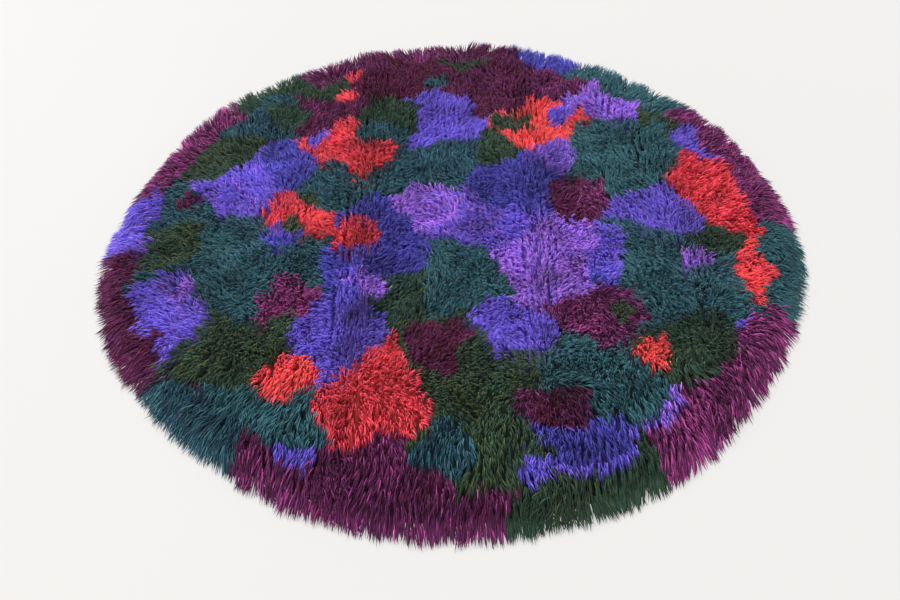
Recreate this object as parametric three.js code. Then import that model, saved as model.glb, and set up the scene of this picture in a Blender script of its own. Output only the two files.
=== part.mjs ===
// A round rya rug, lying flat: a woven ground with a long knotted wool pile, in one piece. The pile is one
// lumpy slab that rises over the soft folds of the cloth. At its rim it ends in loose locks, which lie on the
// floor at the front and stand up at the back. Millimetres, +Z up, the origin on the floor under the middle.
import * as THREE from 'three';
import { ImprovedNoise } from 'three/addons/math/ImprovedNoise.js';

// The rug across the tips of its pile, the height of the pile where it lies flat, and how much higher it
// stands near the back rim.
const RADIUS = 1000;
const PILE_HEIGHT = 39;
const BACK_RISE = 9;

// The top is laid out in rings of points, the k-th ring with 6 k of them, so they stay evenly apart.
const TOP_RINGS = 24;
const RING_STEP = 6;

// The edge, where the pile falls to the floor at the front and where it stands at the back. Insets are
// measured from the tips: of the line where the top begins to fall, of the crest of a lock, of the notch
// between two locks, and of the foot on the floor under that notch.
const LYING = {
  shoulderInset: 132,
  crestInset: 72,
  crestHeight: 28,
  notchInset: 84,
  notchHeight: 19,
  footInset: 64,
  reachSpread: 11,
  lockHeight: 1,
};
const STANDING = {
  shoulderInset: 96,
  crestInset: 38,
  crestHeight: 46,
  notchInset: 50,
  notchHeight: 36,
  footInset: 32,
  reachSpread: 6,
  lockHeight: 1.5,
};
const CREST_SPREAD = 3;
const FOOT_SPREAD = 4;

// Locks of pile around the rim, with how much they differ in lean and in width. Locks lean in groups.
const LOCK_COUNT = 240;
const LEAN_GROUPS = 40;
const LEAN_SPREAD = 18;
const STRAY = 2;
const LOCK_SECTIONS = [
  { along: 0.42, width: 18, height: 19 },
  { along: 0.76, width: 11, height: 9 },
];
const WIDTH_SPREAD = 0.16;

// Lumps where the pile clings together, from broad to narrow.
const LUMPS = [
  { across: 230, height: 10 },
  { across: 84, height: 14 },
];

// How the outline leaves a circle: how many waves go round it, how high they are, and where a crest is.
const OUTLINE_WAVES = [
  { count: 1, height: 1.2, crest: -48 },
  { count: 2, height: 3.7, crest: 23 },
  { count: 3, height: 2.3, crest: 57 },
  { count: 4, height: 9.7, crest: 5.5 },
  { count: 5, height: 2.9, crest: -1 },
  { count: 6, height: 2.8, crest: 17 },
  { count: 7, height: 3.6, crest: -10 },
  { count: 8, height: 0.8, crest: -13 },
];

// Soft folds that run from the back to the front. Each row has its distance to the right of the middle at the
// back, halfway and at the front, and the height and half width of the ridge it makes in the pile.
const FOLD_REACH = 900;
const FOLDS = [
  { back: -266, halfway: -272, front: -290, rise: 10, halfWidth: 62 },
  { back: 230, halfway: 254, front: 218, rise: 11, halfWidth: 66 },
  { back: 430, halfway: 680, front: 590, rise: 8, halfWidth: 58 },
  { back: 664, halfway: 925, front: 718, rise: 5, halfWidth: 50 },
];

const FULL_TURN = 2 * Math.PI;
const noise = new ImprovedNoise();

function tipRadius(angle) {
  const past = (crest) => angle - THREE.MathUtils.degToRad(crest);
  const rises = OUTLINE_WAVES.map(({ count, height, crest }) => height * Math.cos(count * past(crest)));
  return rises.reduce((radius, rise) => radius + rise, RADIUS);
}

// How far the pile stands at this angle: 0 at the front, where it falls to the floor, and 1 at the back.
const standing = (angle) => THREE.MathUtils.smoothstep(Math.sin(angle), -0.15, 0.55);

// A size of the edge at this angle, between its lying and its standing value.
const edgeAt = (angle, size) => THREE.MathUtils.lerp(LYING[size], STANDING[size], standing(angle));

// What differs from lock to lock, each with its own run of random numbers.
const VARIES = { foot: 1, reach: 2, lean: 3, width: 4, crest: 5 };

// A number from -1 to 1 that looks random, and is the same for the same lock and use each time.
const scatter = (lock, use) => 2 * THREE.MathUtils.seededRandom(LOCK_COUNT * use + lock) - 1;

// The same, but shared by locks that lie near each other.
function sway(lock, use) {
  const angle = lock / LOCK_COUNT * FULL_TURN;
  const circle = LEAN_GROUPS / FULL_TURN;
  return noise.noise(circle * Math.cos(angle), circle * Math.sin(angle), use + 0.5);
}

// The line of a fold's ridge: a curve through its three distances from the middle.
function foldLine(fold, y) {
  const along = y / FOLD_REACH;
  const slant = (fold.back - fold.front) / 2;
  const bend = (fold.back + fold.front) / 2 - fold.halfway;
  return fold.halfway + slant * along + bend * along * along;
}

const foldRise = (x, y) => FOLDS.reduce(
  (rise, fold) => rise + fold.rise * Math.exp(-(((x - foldLine(fold, y)) / fold.halfWidth) ** 2)),
  0,
);

const lumpRise = (x, y) => LUMPS.reduce(
  (rise, lump) => rise + lump.height * noise.noise(x / lump.across, y / lump.across, lump.across),
  0,
);

const backRise = (x, y) => BACK_RISE * standing(Math.atan2(y, x))
  * THREE.MathUtils.smoothstep(Math.hypot(x, y) / RADIUS, 0.4, 0.85);

// The mesh is built up from points and from triangles of point numbers, turned outwards.
const points = [];
const triangles = [];

function addPoint(radius, angle, height) {
  return points.push(new THREE.Vector3(radius * Math.cos(angle), radius * Math.sin(angle), height)) - 1;
}

// A point some way inside the tips of the pile.
function addRimPoint(angle, inset, height) {
  return addPoint(tipRadius(angle) - inset, angle, height);
}

function ringOf(count, radiusAt, heightAt) {
  return Array.from({ length: count }, (_, i) => {
    const angle = i / count * FULL_TURN;
    const radius = radiusAt(angle);
    return addPoint(radius, angle, heightAt(radius * Math.cos(angle), radius * Math.sin(angle)));
  });
}

// Fills the band between two rings that may differ in their number of points, facing up.
function stitch(inner, outer) {
  let i = 0;
  let j = 0;
  while (i < inner.length || j < outer.length) {
    const here = inner[i % inner.length];
    const there = outer[j % outer.length];
    if (j < outer.length && (j + 1) / outer.length <= (i + 1) / inner.length) {
      j += 1;
      triangles.push([here, there, outer[j % outer.length]]);
    } else {
      i += 1;
      triangles.push([here, there, inner[i % inner.length]]);
    }
  }
}

// The top, from its middle out to the shoulder.
function buildTop() {
  const heightAt = (x, y) => PILE_HEIGHT + foldRise(x, y) + lumpRise(x, y) + backRise(x, y);
  const middle = addPoint(0, 0, heightAt(0, 0));
  let inner = null;
  for (let k = 1; k <= TOP_RINGS; k += 1) {
    const radiusAt = (angle) => (tipRadius(angle) - edgeAt(angle, 'shoulderInset')) * k / TOP_RINGS;
    const outer = ringOf(RING_STEP * k, radiusAt, heightAt);
    if (inner) {
      stitch(inner, outer);
    } else {
      outer.forEach((point, i) => triangles.push([middle, point, outer[(i + 1) % outer.length]]));
    }
    inner = outer;
  }
  return inner;
}

// The edge of the slab: the crest that each lock leaves it from, and after each lock a notch above its foot.
function buildEdge(shoulder) {
  const crests = [];
  const notches = [];
  const feet = [];
  for (let lock = 0; lock < LOCK_COUNT; lock += 1) {
    const crestAngle = lock / LOCK_COUNT * FULL_TURN;
    const notchAngle = (lock + 0.5) / LOCK_COUNT * FULL_TURN;
    const crestHeight = edgeAt(crestAngle, 'crestHeight') + CREST_SPREAD * scatter(lock, VARIES.crest);
    const notchHeight = edgeAt(notchAngle, 'notchHeight');
    const footInset = edgeAt(notchAngle, 'footInset') + FOOT_SPREAD * scatter(lock, VARIES.foot);
    crests.push(addRimPoint(crestAngle, edgeAt(crestAngle, 'crestInset'), crestHeight));
    notches.push(addRimPoint(notchAngle, edgeAt(notchAngle, 'notchInset'), notchHeight));
    feet.push(addRimPoint(notchAngle, footInset, 0));
  }
  stitch(shoulder, crests.flatMap((crest, lock) => [crest, notches[lock]]));
  crests.forEach((crest, lock) => triangles.push(
    [crest, feet[lock], notches[lock]],
    [notches[lock], feet[lock], crests[(lock + 1) % LOCK_COUNT]],
  ));
  return { crests, feet };
}

// One lock of pile: a three-sided point that rests on the floor, wide at its root and swept to one side.
function buildLock(lock, top, leftFoot, rightFoot) {
  const angle = lock / LOCK_COUNT * FULL_TURN;
  const foot = edgeAt(angle, 'footInset');
  const rootRadius = tipRadius(angle) - foot;
  const longer = scatter(lock, VARIES.reach) + sway(lock, VARIES.reach);
  const reach = foot + edgeAt(angle, 'reachSpread') * longer;
  const swing = LEAN_SPREAD * foot / LYING.footInset;
  const lean = swing * sway(lock, VARIES.lean) + STRAY * scatter(lock, VARIES.lean);
  const swell = 1 + WIDTH_SPREAD * scatter(lock, VARIES.width);
  const angleAt = (radius, sideways) => angle + sideways / radius;

  let section = { left: leftFoot, right: rightFoot, top };
  for (const { along, width, height } of LOCK_SECTIONS) {
    const radius = rootRadius + reach * along;
    const middle = lean * along * along;
    const half = width * swell / 2;
    const next = {
      left: addPoint(radius, angleAt(radius, middle - half), 0),
      right: addPoint(radius, angleAt(radius, middle + half), 0),
      top: addPoint(radius, angleAt(radius, middle), height * edgeAt(angle, 'lockHeight') * swell),
    };
    triangles.push(
      [section.right, section.top, next.top], [section.right, next.top, next.right],
      [section.left, next.top, section.top], [section.left, next.left, next.top],
      [section.left, section.right, next.right], [section.left, next.right, next.left],
    );
    section = next;
  }

  const tipAt = rootRadius + reach;
  const tip = addPoint(tipAt, angleAt(tipAt, lean), 0);
  triangles.push(
    [section.right, section.top, tip],
    [section.left, tip, section.top],
    [section.left, section.right, tip],
  );
}

function buildUnderside(feet) {
  const middle = addPoint(0, 0, 0);
  feet.forEach((foot, lock) => triangles.push([middle, feet[(lock + 1) % LOCK_COUNT], foot]));
}

function buildRug() {
  const { crests, feet } = buildEdge(buildTop());
  crests.forEach((crest, lock) => buildLock(lock, crest, feet.at(lock - 1), feet[lock]));
  buildUnderside(feet);

  const geometry = new THREE.BufferGeometry().setFromPoints(points);
  geometry.setIndex(triangles.flat());
  geometry.computeBoundingBox();
  const middle = geometry.boundingBox.getCenter(new THREE.Vector3());
  geometry.translate(-middle.x, -middle.y, 0);
  geometry.computeVertexNormals();
  return geometry;
}

const wool = new THREE.MeshStandardMaterial({ color: 0x48304a, roughness: 0.95, metalness: 0 });
const rug = new THREE.Mesh(buildRug(), wool);
rug.name = 'rug';

const group = new THREE.Group();
group.add(rug);

export default group;
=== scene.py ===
"""A round rya rug on a floor: a woven wool ground, and rows of knots with long yarns that fall loosely.

The pile takes its height, lumps and folds from the rug's solid. Its yarns are real strands, dyed in thirteen
shades and joined into one mesh for each shade.
"""

import math

import bmesh
import bpy
import numpy as np
from bpy.props import FloatProperty, FloatVectorProperty, IntProperty, PointerProperty
from bpy.types import Operator, Panel, PropertyGroup
from mathutils import Matrix, Vector, noise
from mathutils.bvhtree import BVHTree


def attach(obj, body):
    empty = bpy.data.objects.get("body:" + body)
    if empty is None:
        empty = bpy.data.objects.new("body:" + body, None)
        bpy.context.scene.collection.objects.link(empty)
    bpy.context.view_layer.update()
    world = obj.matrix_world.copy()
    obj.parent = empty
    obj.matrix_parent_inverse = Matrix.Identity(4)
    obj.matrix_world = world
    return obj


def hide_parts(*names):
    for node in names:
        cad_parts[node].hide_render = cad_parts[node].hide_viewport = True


bl_info = {
    "name": "Round rya rug",
    "version": (1, 0, 0),
    "blender": (4, 5, 0),
    "location": "3D View > Sidebar > Rya rug",
    "description": "Builds a round rya rug: its woven ground, its long wool pile and a plain stage",
    "category": "Object",
}

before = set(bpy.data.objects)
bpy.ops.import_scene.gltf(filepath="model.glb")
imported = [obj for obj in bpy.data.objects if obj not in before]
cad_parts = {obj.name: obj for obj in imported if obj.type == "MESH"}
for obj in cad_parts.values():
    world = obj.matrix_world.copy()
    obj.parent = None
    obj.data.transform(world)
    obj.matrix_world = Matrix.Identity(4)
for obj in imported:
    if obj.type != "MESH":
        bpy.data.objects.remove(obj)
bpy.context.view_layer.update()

BODY = "root"
RUG_NODE = "rug"
FULL_TURN = 2 * math.pi
TINY = 1e-6
JOIN_GAP = 1e-5

# The tips of the pile lie on this radius, which leaves a circle by a few waves. Each row has how many waves
# go round the rug, their height in metres, and the direction of a crest in degrees.
RUG_RADIUS = 1.0
OUTLINE_WAVES = [
    {"count": 1, "height": 0.0012, "crest": -48},
    {"count": 2, "height": 0.0037, "crest": 23},
    {"count": 3, "height": 0.0023, "crest": 57},
    {"count": 4, "height": 0.0097, "crest": 5.5},
    {"count": 5, "height": 0.0029, "crest": -1},
    {"count": 6, "height": 0.0028, "crest": 17},
    {"count": 7, "height": 0.0036, "crest": -10},
    {"count": 8, "height": 0.0008, "crest": -13},
]

# Soft folds from the back to the front of the rug, with their distance to the right of its middle at the
# back, halfway and at the front, and how far the pile on them stands up, from 0 to 1.
FOLD_REACH = 0.9
FOLDS = [
    {"back": -0.266, "halfway": -0.272, "front": -0.290, "stands": 1.0},
    {"back": 0.230, "halfway": 0.254, "front": 0.218, "stands": 1.0},
    {"back": 0.430, "halfway": 0.680, "front": 0.590, "stands": 1.0},
    {"back": 0.664, "halfway": 0.925, "front": 0.718, "stands": 0.8},
]

# The yarn shades as they are dyed, in the order of their pieces.
YARNS = {
    "garnet": (0.71, 0.13, 0.19),
    "crimson": (0.99, 0.30, 0.37),
    "vermilion": (1.00, 0.38, 0.31),
    "violet": (0.46, 0.37, 0.86),
    "lilac": (0.69, 0.46, 0.92),
    "cobalt": (0.31, 0.30, 0.72),
    "plum": (0.37, 0.13, 0.32),
    "magenta": (0.66, 0.26, 0.55),
    "bordeaux": (0.34, 0.09, 0.19),
    "teal": (0.21, 0.40, 0.44),
    "petrol": (0.14, 0.26, 0.35),
    "forest": (0.18, 0.28, 0.22),
    "olive": (0.28, 0.34, 0.20),
}

# What a patch of each family is knotted in: its share of the rug, and the share of each yarn in its knots,
# from the darkest yarn to the palest.
FAMILIES = {
    "red": {"share": 0.12, "yarns": {"garnet": 0.28, "crimson": 0.42, "vermilion": 0.30}},
    "violet": {"share": 0.17, "yarns": {"cobalt": 0.22, "violet": 0.58, "lilac": 0.20}},
    "lilac": {"share": 0.07, "yarns": {"violet": 0.36, "lilac": 0.64}},
    "cobalt": {"share": 0.05, "yarns": {"cobalt": 0.74, "violet": 0.26}},
    "plum": {"share": 0.09, "yarns": {"bordeaux": 0.22, "plum": 0.36, "magenta": 0.42}},
    "bordeaux": {"share": 0.06, "yarns": {"bordeaux": 0.58, "plum": 0.42}},
    "teal": {"share": 0.24, "yarns": {"petrol": 0.40, "teal": 0.60}},
    "forest": {"share": 0.20, "yarns": {"petrol": 0.14, "forest": 0.54, "olive": 0.32}},
}
FAMILY_NAMES = list(FAMILIES)

# The band round the edge, one stretch after another from the right-hand side: its family and share of the
# turn. How pale a stretch is, from 0 to 1, moves on by a step from each to the next, and past 1 it begins
# again at 0.
BORDER = [
    ("plum", 0.10), ("teal", 0.07), ("cobalt", 0.04), ("plum", 0.13), ("forest", 0.05), ("plum", 0.08),
    ("violet", 0.05), ("bordeaux", 0.08), ("teal", 0.05), ("plum", 0.12), ("forest", 0.07), ("plum", 0.10),
    ("teal", 0.06),
]
BORDER_PALENESS = 0.675
BORDER_PALENESS_STEP = 0.175

# The patches: how far their middles stray from the spiral and how near a neighbour is, in spacings, and how
# much they differ in size. A family that is used up, or that a neighbour has, is this unlikely to be
# chosen.
PATCH_STRAY = 0.22
NEIGHBOUR_REACH = 1.45
PATCH_SIZE_SPREAD = 0.27
UNLIKELY = 0.02

# The small accents lie inside this share of the radius. The edge of a patch has notches of this share of
# its wobble.
ACCENT_REACH = 0.82
ACCENT_RADII = (0.030, 0.062)
NOTCH_SHARE = 0.3

# Smooth noises that make the rug uneven: how far across their lumps are, and which layer of the noise they
# read. The ones of the locks are counted in locks or rows, and the others in metres.
DRIFTS = {
    "patch_edge_x": (0.11, 1),
    "patch_notch_x": (0.03, 2),
    "patch_edge_y": (0.11, 3),
    "patch_notch_y": (0.03, 4),
    "lie_sideways": (0.45, 5),
    "lie_lengthways": (0.24, 6),
    "swirl": (0.075, 7),
    "whorl": (0.030, 8),
    "ragged": (0.10, 9),
    "bow": (0.040, 10),
    "shade": (0.15, 11),
    "yarn_mix": (0.10, 12),
    "row_reach": (1.3, 13),
    "parting": (0.05, 14),
    "tangle": (0.06, 15),
    "combed": (0.20, 16),
    "lock_place": (1.9, 18),
    "lock_reach": (1.3, 19),
    "fine_shade": (0.065, 20),
    "crease_shade": (0.14, 21),
}
DRIFT_GAIN = 1.6
BETWEEN_LAYERS = 0.37

# Directions round the rug, by their sine: where its front begins and is whole, how much later it begins on
# the left, and where the pile at the rim begins to stand up, towards the back, and stands up wholly.
FRONT_SINES = (0.25, 0.80)
LEFT_LAG = 0.22
LEFT_COSINES = (0.0, 0.4)
BACK_SINES = (-0.15, 0.55)

# The rows of knots: how far knots stray across and along them, how far inside the woven ground's edge the
# straight rows end, the band inside that edge for the two rows that follow it, and how far the knots of
# these move over to the straight rows at the front.
KNOT_STRAY_ACROSS = 0.0010
KNOT_STRAY_ALONG = 0.0014
STRAIGHT_ROWS_END = 0.012
EDGE_ROWS_BAND = (0.003, 0.016)
EDGE_ROWS_SHIFT = 0.3
LAYOUT_MARGIN = 0.05
ROW_WAVE = {"height": 0.0030, "turn_along": 9, "turn_across": 4}

# The combed band at the rim: its width at the sides and the back, how much wider it gets at the front, by
# the sine of the direction, how uneven its width is, and between which shares of it the combing fades.
COMBED_WIDTH = 0.10
COMBED_MORE = 0.28
COMBED_SINES = (0.35, 0.95)
COMBED_UNEVEN = 0.04
COMBED_FADE = (0.55, 1.15)

# How far to each side of its line a fold draws the pile aside, stands it up, parts it and darkens it with
# painted shade, how soft the parting is, and how far it wanders.
FOLD_DRAWS = 0.14
FOLD_STANDS = 0.048
FOLD_PARTS = 0.024
FOLD_CREASES = 0.030
PARTING_SOFTNESS = 0.035
PARTING_WANDER = 0.012

# How strongly the pile lies to one side, along the rug and outwards. It turns wholly outwards between these
# insets. At the front it loses this much of its slant to the sides, and beside the front it droops
# forwards.
LIE_SIDEWAYS = 2.4
LIE_LENGTHWAYS = 0.55
LIE_OUTWARDS = 0.35
OUTWARD_INSETS = (0.28, 0.05)
FRONT_STRAIGHTENS = 0.88
FORWARD_DROOP = 0.5

# How far, in radians, the pile turns in broad swirls and small whorls, and what share of that it loses at
# the rim, and besides at the front rim.
SWIRL_TURN = 0.95
WHORL_TURN = 0.85
RIM_CALMS = 0.35
FRONT_CALMS = 0.40

# How far the pile stands up: in a parting at the least, how much of that the rim takes away, in a tangle at
# the most, and where it has no way to lie, with how fast that wears off as it gets one.
PARTING_UPRIGHT = 0.75
RIM_LAYS_DOWN = 0.6
TANGLED_UPRIGHT = 0.5
UNDECIDED_UPRIGHT = 0.7
UNDECIDED_FALL = 1.6

# How much knots differ in the turn, length, layer and bow of their strands.
KNOT_TURN = 0.03
KNOT_LENGTH = 0.07
KNOT_LAYER = 0.20
KNOT_BOW = 0.0050

# What goes into the painted light and shade of a place, into the shade of a strand, and into the choice of
# its yarn.
# The place's is broad random unevenness painted as the light and shade of lumps, painted light on slopes
# towards the window and painted shade along the folds. A strand's is its own and its knot's random tone and
# the painted light and shade of its place.
PLACE_SHADE = {"uneven": 0.9, "lit": 9, "crease_shade": 1.8}
STRAND_SHADE = {"own": 0.66, "knot": 0.2, "place": 0.5}
YARN_BLEND = {"patch": 0.7, "place": 0.3}
YARN_CHOICE = {"own": 0.48, "blend": 0.52}

# The way that the light of the window takes, and how the pile's slope towards it is measured, which sets
# painted
# light and shade on the pile: over this distance, and only past these insets.
WINDOW_WAY = (0.50, -0.55, -0.78)
SLOPE_STEP = 0.02
SLOPE_INSETS = (0.14, 0.20)

# The layers of the pile, from 0 at the ground to 1 at the top: where strands lie, below which they are the
# low ones that fill it, and above which they show, with how uneven that is.
STRAND_LAYERS = (0.52, 0.86)
LOW_LAYER = 0.64
SHOWING_LAYER = 0.93
SHOWING_SPREAD = 0.04

# How far apart the strands of a knot leave it: across the rows where these show, how much more where they
# are hidden, with the share of that for low strands in the rows that show, and along the rows. Standing
# strands hide the rows this much less.
ROOT_SPREAD = 0.0012
ROOT_SPREAD_HIDDEN = 0.0060
LOW_SPREAD = 0.5
ROOT_SPREAD_ALONG = 0.0030
UPRIGHT_SHOWS_ROWS = 1.3

# How far strands turn from the lie of the pile, in radians: inside the rug, how much less near the rim and
# besides at the front, and how much more for low strands near the rim.
STRAND_TURN = 0.28
STRAND_TURN_RIM = 0.06
STRAND_TURN_FRONT = 0.16
STRAND_TURN_LOW = 0.12

# Standing strands tip over loosely, forwards or backwards, and up to this far aside.
LOOSE_SHARE = 0.9
LOOSE_ASIDE = 0.8

# How far a strand reaches over the ground, in shares of its length: inside the rug, how much more near the
# rim and at its edge, and how much less on a fold. A rim that stands up takes this share of the second and
# third.
STRAND_LENGTH_SPREAD = 0.06
REACH = {"inside": 0.43, "near_rim": 0.27, "at_edge": 0.24, "on_fold": 0.20}
RIM_STANDS_REACH = 0.5
EDGE_INSETS = (0.05, 0.10)

# How far strands may end past the outline: the mean, how much more in a long lock, how much less at the
# side of a lock, how much they differ, and how much more where the rim stands up, which loses shares of the
# others.
PAST_OUTLINE = {"mean": 0.012, "long_lock": 0.009, "lock_side": 0.014, "spread": 0.015, "standing": 0.017}
STANDING_LOSES_LOCK = 0.6
STANDING_LOSES_SPREAD = 0.4
LEAST_OUTWARD = 0.2

# How far tips are moved aside, by the bow of their knot and by chance. The sides of a lock are darker than
# its middle by this much, from this share of its half width on: painted shade in the grooves between the
# locks.
TIP_BOW = 0.8
TIP_STRAY = 0.0022
LOCK_SIDE_SHADE = 0.9
LOCK_SIDE_FROM = 0.4

# How far up in the pile strands are lifted on a fold and at a standing rim.
FOLD_LIFTS = 0.7
RIM_LIFTS = 0.5

# The pile's height: it stands this far above the solid's top, which is read no nearer to the tips than
# here. It falls at the rim in this width where it lies, less where it stands up, and with this roundness.
# Knots by the rim keep at least this share of it.
PROUD_OF_SOLID = 0.004
SOLID_TOP_INSET = 0.135
FALL_WIDTH = 0.095
FALL_WIDTH_LESS = 0.082
FALL_ROUNDNESS = 2.4
KNOT_KEEPS = 0.35
KNOT_FALLS = 0.65

# The curve of a strand leaves its knot at this height and runs by a rise and a shoulder: how far along each
# is, how far the bow moves it aside, its least height, and its height as a share of the layer's there.
KNOT_HEIGHT = 0.0025
RISE = {"along": 0.12, "bow": -0.8, "least": 0.005, "height": 0.95}
SHOULDER = {"along": 0.60, "bow": 1.6, "least": 0.003, "height": 1.10}
STRAND_BOW_SPREAD = 0.0024
UPRIGHT_SHOULDER_LESS = 0.10
SHOULDER_ROOT_SHARE = 0.35
SHOULDER_TIP_SHARE = 0.75
SPIKE_SHOULDER_LESS = 0.22

# The height of a tip, as a share of its layer's: the least, how much they differ, and how much more at a
# standing rim. In metres, the most, the least, and how much more some have near the rim.
TIP_SHARE = 0.95
TIP_SHARE_SPREAD = 0.10
TIP_SHARE_SPIKE = 0.08
TIP_HIGHEST = 0.070
TIP_LOWEST = 0.0012
TIP_RIM_SPREAD = 0.004

# How thick strands are, as shares of the yarn's thickness, and how much thicker at the edge and besides at
# its front. Those that end within these insets show all round, or against the floor.
THICKNESS_SHARES = (0.80, 1.18)
EDGE_THICKER = 0.15
FRONT_EDGE_THICKER = 0.25
SHOWING_INSET = 0.030
RIM_INSET = 0.010

# The locks round the rim, as many as on the solid, and how far in locks they wander. Next to each other
# they are this far apart on their ring of noise. Rows of knots are this far apart on theirs.
LOCK_COUNT = 240
LOCK_WANDER = 0.7
LOCK_RING_STEP = 1.2
ROW_STEP = 0.9

# How far tips near the rim move over to the middle of their lock, how much further at the front, and the
# band at the rim in which they do.
CLING = 0.20
CLING_FRONT = 0.05
CLING_BAND = 0.02

# Along a strand: how far each station is and its radius. The low strands that fill the pile bend once,
# those on top of it twice, and those that show against the floor three times.
FILL_STATIONS = [(0.0, 0.0), (0.60, 1.0), (1.0, 0.0)]
TOP_STATIONS = [(0.0, 0.0), (0.43, 1.0), (0.75, 0.84), (1.0, 0.0)]
RIM_STATIONS = [(0.0, 0.0), (0.30, 0.95), (0.60, 0.92), (0.84, 0.60), (1.0, 0.0)]
STATIONS = (FILL_STATIONS, TOP_STATIONS, RIM_STATIONS)
FILL, TOP, RIM = range(3)
STRAND_SIDES = 3
CELL_MARGIN = 0.06

# The woven ground: how finely it is divided, its gap to the floor, the ridge that a fold makes in it, the
# room that it leaves in the square that it is cut from, and how dark it is next to the yarns.
GROUND_RINGS = 24
GROUND_STEPS = 144
FLOOR_GAP = 0.0004
GROUND_FOLD = {"rise": 0.003, "half_width": 0.055}
GROUND_TONE = 0.8


def length_property(name, description, default):
    """A length in metres that the user can change."""
    return FloatProperty(name=name, description=description, default=default, unit="LENGTH")


class RyaPileSettings(PropertyGroup):
    """Sizes of the pile."""

    row_pitch: length_property("Row pitch", "Distance from one row of knots to the next", 0.0156)
    knot_pitch: length_property("Knot pitch", "Distance from one knot to the next in a row", 0.0064)
    edge_knot_pitch: length_property("Edge knot pitch", "Distance between the knots round the edge", 0.0060)
    yarns_per_knot: IntProperty(
        name="Yarns per knot", description="Strands that leave one knot", default=4, min=1,
    )
    yarn_length: length_property("Yarn length", "Length of the pile inside the rug", 0.058)
    edge_yarn_length: length_property("Edge yarn length", "Length of the pile round the edge", 0.080)
    yarn_thickness: length_property("Yarn thickness", "Thickness of a strand at its thickest", 0.0029)
    ground_inset: length_property("Ground inset", "How far inside the tips the woven ground ends", 0.044)
    ground_thickness: length_property("Ground thickness", "Thickness of the woven ground", 0.002)
    seed: IntProperty(name="Seed", description="Start of the random numbers", default=7)


class RyaPatchSettings(PropertyGroup):
    """The layout of the colour patches."""

    count: IntProperty(name="Patches", description="Number of pebble-shaped patches", default=66, min=3)
    accents: IntProperty(
        name="Accents", description="Number of small round patches on top", default=30, min=0,
    )
    border_width: length_property("Border width", "Width of the band round the edge", 0.125)
    wobble: length_property("Wobble", "How far the edge of a patch wanders", 0.034)
    seed: IntProperty(name="Seed", description="Start of the random numbers", default=11)


class RyaStageSettings(PropertyGroup):
    """The floor, the lights and the camera."""

    focal_length: FloatProperty(
        name="Focal length", description="In millimetres, on a 36 mm frame", default=35.0,
    )
    eye_height: length_property("Eye height", "Height of the camera above the floor", 1.7532)
    eye_back: length_property("Eye distance", "Distance of the camera from the rug's middle", 1.9389)
    eye_left: length_property("Eye offset", "Distance of the camera to the left of the middle", 0.0115)
    look_down: FloatProperty(
        name="Look down", description="Angle of the view below the horizon",
        default=math.radians(46.43), unit="ROTATION",
    )
    roll: FloatProperty(
        name="Roll", description="Turn of the camera about its view",
        default=math.radians(-1.02), unit="ROTATION",
    )
    floor_colour: FloatVectorProperty(
        name="Floor", description="Colour of the floor",
        default=(0.52, 0.517, 0.513), subtype="COLOR_GAMMA", size=3,
    )


def yarn_property(name, colour):
    """A colour that the user can change for one shade of yarn."""
    return FloatVectorProperty(
        name=name.capitalize(), description=f"Dye of the {name} yarn", default=colour, subtype="COLOR_GAMMA",
        size=3, min=0, max=1,
    )


class RyaYarnSettings(PropertyGroup):
    """The dyes, one colour for each shade of yarn."""

    __annotations__ = {name: yarn_property(name, colour) for name, colour in YARNS.items()}


class Wire:
    """A socket of a shader that takes part in sums: an expression on it adds its Math nodes."""

    def __init__(self, shader, socket):
        self.shader = shader
        self.socket = socket

    def _maths(self, operation, first, second):
        return self.shader.node("ShaderNodeMath", {"operation": operation}, [first, second])

    def __add__(self, other):
        return self._maths("ADD", self, other)

    __radd__ = __add__

    def __sub__(self, other):
        return self._maths("SUBTRACT", self, other)

    def __rsub__(self, other):
        return self._maths("SUBTRACT", other, self)

    def __mul__(self, other):
        return self._maths("MULTIPLY", self, other)

    __rmul__ = __mul__

    def __pow__(self, other):
        return self._maths("POWER", self, other)


class Shader:
    """The node tree of one material, made from nothing."""

    def __init__(self, name):
        self.material = bpy.data.materials.new(name)
        self.material.use_nodes = True
        self.tree = self.material.node_tree
        self.tree.nodes.clear()

    def node(self, kind, settings=None, inputs=(), output=0):
        """Adds a node, sets its settings and then the values or links of its sockets, and gives an output."""
        made = self.tree.nodes.new(kind)
        for name, value in (settings or {}).items():
            setattr(made, name, value)
        for key, value in inputs.items() if isinstance(inputs, dict) else enumerate(inputs):
            if isinstance(value, Wire):
                self.tree.links.new(value.socket, made.inputs[key])
            else:
                made.inputs[key].default_value = value
        return Wire(self, made.outputs[output]) if made.outputs else None

    def attribute(self, name):
        return self.node("ShaderNodeAttribute", {"attribute_name": name}, output="Fac")

    def blend(self, factor, first, second, way="MIX"):
        """Mixes two colours."""
        settings = {"data_type": "RGBA", "blend_type": way}
        return self.node("ShaderNodeMix", settings, {0: factor, 6: first, 7: second}, output=2)

    def fade(self, value, low, high, start=0.0, end=1.0):
        """A smooth step from start to end while the value goes from low to high."""
        settings = {"interpolation_type": "SMOOTHSTEP"}
        return self.node("ShaderNodeMapRange", settings, [value, low, high, start, end])

    def brighten(self, colour, by):
        return self.node("ShaderNodeHueSaturation", None, {"Value": by, "Color": colour})

    def finish(self, **inputs):
        """Joins a Principled surface with these inputs to the output, and gives the material."""
        named = {name.replace("_", " "): value for name, value in inputs.items()}
        surface = self.node("ShaderNodeBsdfPrincipled", None, named)
        self.node("ShaderNodeOutputMaterial", None, {"Surface": surface})
        return self.material


def linear(colour, alpha=1.0):
    """The light that a colour as seen on a screen stands for."""
    return [c / 12.92 if c <= 0.04045 else ((c + 0.055) / 1.055) ** 2.4 for c in colour] + [alpha]


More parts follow.
